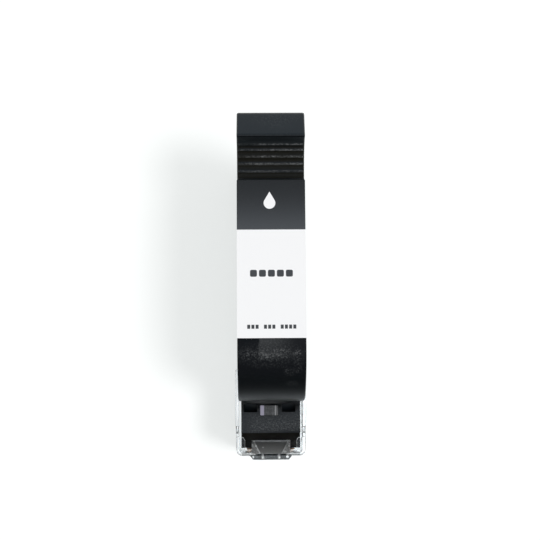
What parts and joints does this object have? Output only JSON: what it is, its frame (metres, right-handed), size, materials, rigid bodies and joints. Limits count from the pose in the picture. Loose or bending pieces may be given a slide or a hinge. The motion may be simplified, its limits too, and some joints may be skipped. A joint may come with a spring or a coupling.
{
  "type": "inkjet ink cartridge",
  "caption": "Black inkjet ink cartridge with a ribbed grip, a sprung ink bag inside and a printhead snout under a clear protective clip.",
  "frame": {"origin": "middle of the bounding box, on the surface the cartridge lies on", "axes": "+X across the narrow spine, +Y along the cartridge from the nozzles to the grip, +Z from the back spine up to the labelled front spine"},
  "size_m": [0.0234, 0.1058, 0.075],
  "materials": {
    "body_plastic": "moulded black, satin",
    "liner_plastic": "natural",
    "cover_steel": "rolled sheet",
    "label_stock": "coated white with a black band",
    "bag_film": "metallised film",
    "guard_film": "milky film",
    "plate_steel": "rolled sheet",
    "spring_steel": "rolled strip",
    "filter_mesh": "fine woven mesh",
    "plug_plastic": "smoky grey",
    "die_silicon": "polished",
    "nozzle_metal": "gold plated",
    "flex_polyimide": "amber film with plated pads",
    "bead_resin": "cured resin",
    "clear_plastic": "clear moulded plastic",
    "seal_elastomer": "soft"
  },
  "bodies": {
    "cartridge": {"pen_body": "body_plastic", "inner_frame": "liner_plastic", "side_cover_left": "cover_steel", "side_cover_right": "cover_steel", "spine_label": "label_stock", "bag_film_left": "bag_film", "bag_film_right": "bag_film", "bow_spring": "spring_steel", "filter_screen": "filter_mesh", "fill_plug": "plug_plastic", "printhead_die": "die_silicon", "nozzle_plate": "nozzle_metal", "flex_circuit": "flex_polyimide", "encapsulant_bead_front": "bead_resin", "encapsulant_bead_back": "bead_resin"},
    "clip": {"protective_clip": "clear_plastic", "nozzle_seal": "seal_elastomer"},
    "left_plate": {"spring_plate_left": "plate_steel", "edge_guard_left": "guard_film"},
    "right_plate": {"spring_plate_right": "plate_steel", "edge_guard_right": "guard_film"}
  },
  "joints": [
    {"name": "clip_pull", "type": "slide", "parent": "cartridge", "child": "clip", "axis": [0, -1, 0], "range_m": [0, 0.036]},
    {"name": "left_plate_slide", "type": "slide", "parent": "cartridge", "child": "left_plate", "axis": [1, 0, 0], "range_m": [0, 0.005], "stiffness_N_per_m": 150, "springref_m": -0.003, "deforming": ["bow_spring", "bag_film_left"]},
    {"name": "right_plate_slide", "type": "slide", "parent": "cartridge", "child": "right_plate", "axis": [-1, 0, 0], "range_m": [0, 0.005], "stiffness_N_per_m": 150, "springref_m": -0.003, "deforming": ["bow_spring", "bag_film_right"]}
  ],
  "couplings": [
    {"joint": "right_plate_slide", "follows": "left_plate_slide", "ratio": 1}
  ]
}
